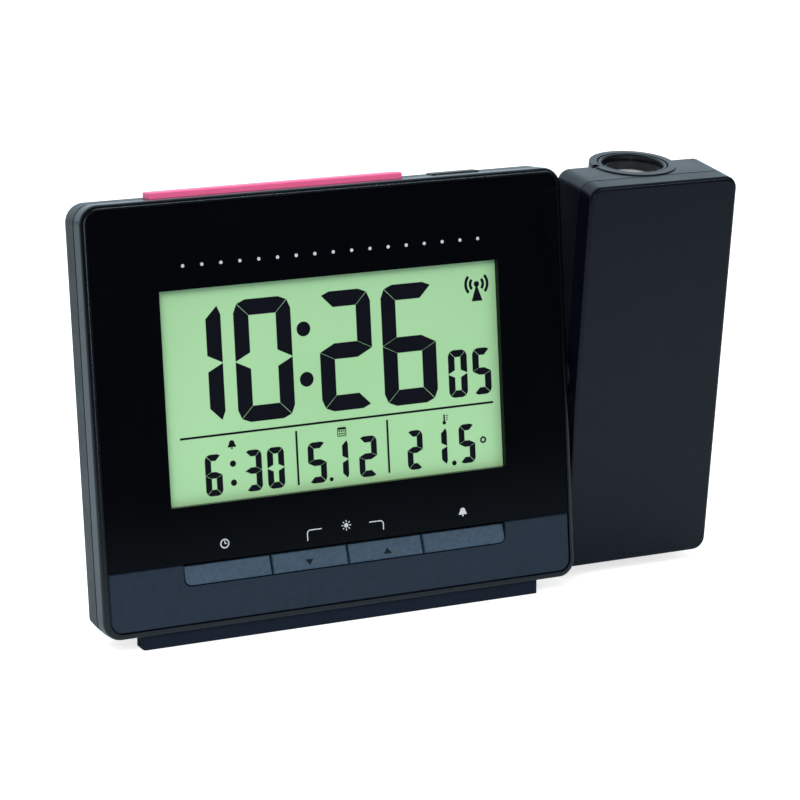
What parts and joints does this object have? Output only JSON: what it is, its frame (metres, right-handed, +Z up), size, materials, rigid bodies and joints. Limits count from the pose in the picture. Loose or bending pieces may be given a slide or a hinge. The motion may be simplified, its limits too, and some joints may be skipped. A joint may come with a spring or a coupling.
{
  "type": "projection alarm clock",
  "caption": "Digital alarm clock that leans back on a base, with front keys, a top snooze bar and a turning projector arm at its side.",
  "frame": {"origin": "centre of the base's underside, midway between the case's sides", "axes": "+X to the viewer's right towards the projector arm, +Y from the face to the back, +Z up"},
  "size_m": [0.1645, 0.0438, 0.1045],
  "materials": {
    "case_plastic": "fine satin texture",
    "face_black": "high gloss",
    "strip_blue_grey": "satin",
    "key_grey": "satin",
    "snooze_red": "semi-gloss",
    "lcd_green": "smooth film over glass",
    "frame_white": "satin",
    "guide_clear": "polished, frosted back",
    "board_green": "solder mask",
    "steel": "plated",
    "black_plastic": "moulded",
    "ferrite": "sintered",
    "copper_wire": "enamelled winding",
    "rubber_black": "matt",
    "cell_wrap": "printed sleeve, left plain",
    "acetal_white": "smooth",
    "arm_front_plastic": "satin",
    "arm_rear_plastic": "satin",
    "ring_plastic": "satin",
    "lens_cell_plastic": "satin",
    "lens_clear": "polished",
    "lamp_resin": "clear red resin",
    "slide_film": "polished"
  },
  "bodies": {
    "case": {"front_case": "case_plastic", "front_panel": "face_black", "control_strip": "strip_blue_grey", "lcd_glass": "lcd_green", "display_frame": "frame_white", "light_guide": "guide_clear", "display_connector": "rubber_black", "main_board": "board_green", "board_screws": "steel", "controller_chip": "black_plastic", "sounder": "black_plastic", "key_switches": "black_plastic", "top_switches": "black_plastic", "aerial_rod": "ferrite", "aerial_coil": "copper_wire", "aerial_clips": "frame_white", "rear_case": "case_plastic", "battery_cells": "cell_wrap", "battery_contacts": "steel", "battery_springs": "steel", "power_jack": "black_plastic", "jack_pin": "steel", "case_screws": "steel", "base": "case_plastic", "rubber_pads": "rubber_black", "base_screws": "steel", "pivot_bush": "acetal_white"},
    "mode_key": {"mode_key": "key_grey"},
    "dim_down_key": {"dim_down_key": "key_grey"},
    "dim_up_key": {"dim_up_key": "key_grey"},
    "alarm_key": {"alarm_key": "key_grey"},
    "snooze_bar": {"snooze_bar": "snooze_red"},
    "light_key": {"light_key": "key_grey"},
    "battery_door": {"battery_door": "case_plastic"},
    "arm": {"arm_front": "arm_front_plastic", "arm_rear": "arm_rear_plastic", "arm_screws": "steel", "pivot_shaft": "steel", "pivot_clip": "steel", "friction_washer": "rubber_black", "lamp_board": "board_green", "projector_lamp": "lamp_resin", "optics_tube": "black_plastic", "condenser_lens": "lens_clear", "slide_display": "slide_film"},
    "focus_ring": {"focus_ring": "ring_plastic"},
    "lens_cell": {"lens_cell": "lens_cell_plastic", "projector_lens": "lens_clear"}
  },
  "joints": [
    {"name": "mode_key_press", "type": "slide", "parent": "case", "child": "mode_key", "axis": [0, 0.9943, -0.1063], "range_m": [0, 0.0006], "stiffness_N_per_m": 800, "springref_m": -0.0006},
    {"name": "dim_down_key_press", "type": "slide", "parent": "case", "child": "dim_down_key", "axis": [0, 0.9943, -0.1063], "range_m": [0, 0.0006], "stiffness_N_per_m": 800, "springref_m": -0.0006},
    {"name": "dim_up_key_press", "type": "slide", "parent": "case", "child": "dim_up_key", "axis": [0, 0.9943, -0.1063], "range_m": [0, 0.0006], "stiffness_N_per_m": 800, "springref_m": -0.0006},
    {"name": "alarm_key_press", "type": "slide", "parent": "case", "child": "alarm_key", "axis": [0, 0.9943, -0.1063], "range_m": [0, 0.0006], "stiffness_N_per_m": 800, "springref_m": -0.0006},
    {"name": "snooze_press", "type": "slide", "parent": "case", "child": "snooze_bar", "axis": [0, -0.1063, -0.9943], "range_m": [0, 0.0008], "stiffness_N_per_m": 800, "springref_m": -0.0006},
    {"name": "light_key_press", "type": "slide", "parent": "case", "child": "light_key", "axis": [0, -0.1063, -0.9943], "range_m": [0, 0.0005], "stiffness_N_per_m": 800, "springref_m": -0.0006},
    {"name": "battery_door_hinge", "type": "hinge", "parent": "case", "child": "battery_door", "pos_m": [0, 0.0155, 0.01081], "axis": [-1, 0, 0], "range_deg": [0, 90]},
    {"name": "arm_turn", "type": "hinge", "parent": "case", "child": "arm", "pos_m": [0.0622, -0.0092, 0.05257], "axis": [1, 0, 0], "range_deg": [-102.9, 77.1]},
    {"name": "focus_turn", "type": "hinge", "parent": "arm", "child": "focus_ring", "pos_m": [0.08285, -0.0071, 0.10337], "axis": [0, -0.1184, 0.993], "range_deg": [-120, 120]},
    {"name": "lens_climb", "type": "slide", "parent": "arm", "child": "lens_cell", "axis": [0, -0.1184, 0.993], "range_m": [-0.0012, 0.0012]}
  ],
  "couplings": [
    {"joint": "focus_turn", "follows": "lens_climb", "rad_per_m": 1745}
  ]
}
